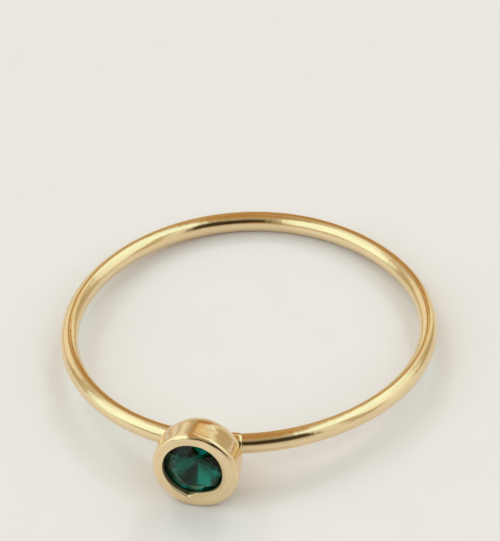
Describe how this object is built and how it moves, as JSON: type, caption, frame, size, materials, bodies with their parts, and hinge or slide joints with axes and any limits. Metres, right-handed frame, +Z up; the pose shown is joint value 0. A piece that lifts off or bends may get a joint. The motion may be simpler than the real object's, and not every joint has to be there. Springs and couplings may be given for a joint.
{
  "type": "knuckle ring",
  "caption": "Thin gold-coloured wire ring for the upper finger, lying on its side, with a round bezel cup holding a dark green faceted stone.",
  "frame": {"origin": "bottom centre of the ring's box, on the surface that the ring lies on", "axes": "+Z up from the surface, -Y the way the stone faces, +X to the right when looking at the stone"},
  "size_m": [0.0166, 0.0182, 0.0039],
  "materials": {
    "gold": "polished yellow gold plating with fine handling scratches",
    "green_stone": "clear dark green faceted stone, polished"
  },
  "bodies": {
    "root": {"band_and_bezel": "gold", "stone": "green_stone"}
  },
  "joints": []
}
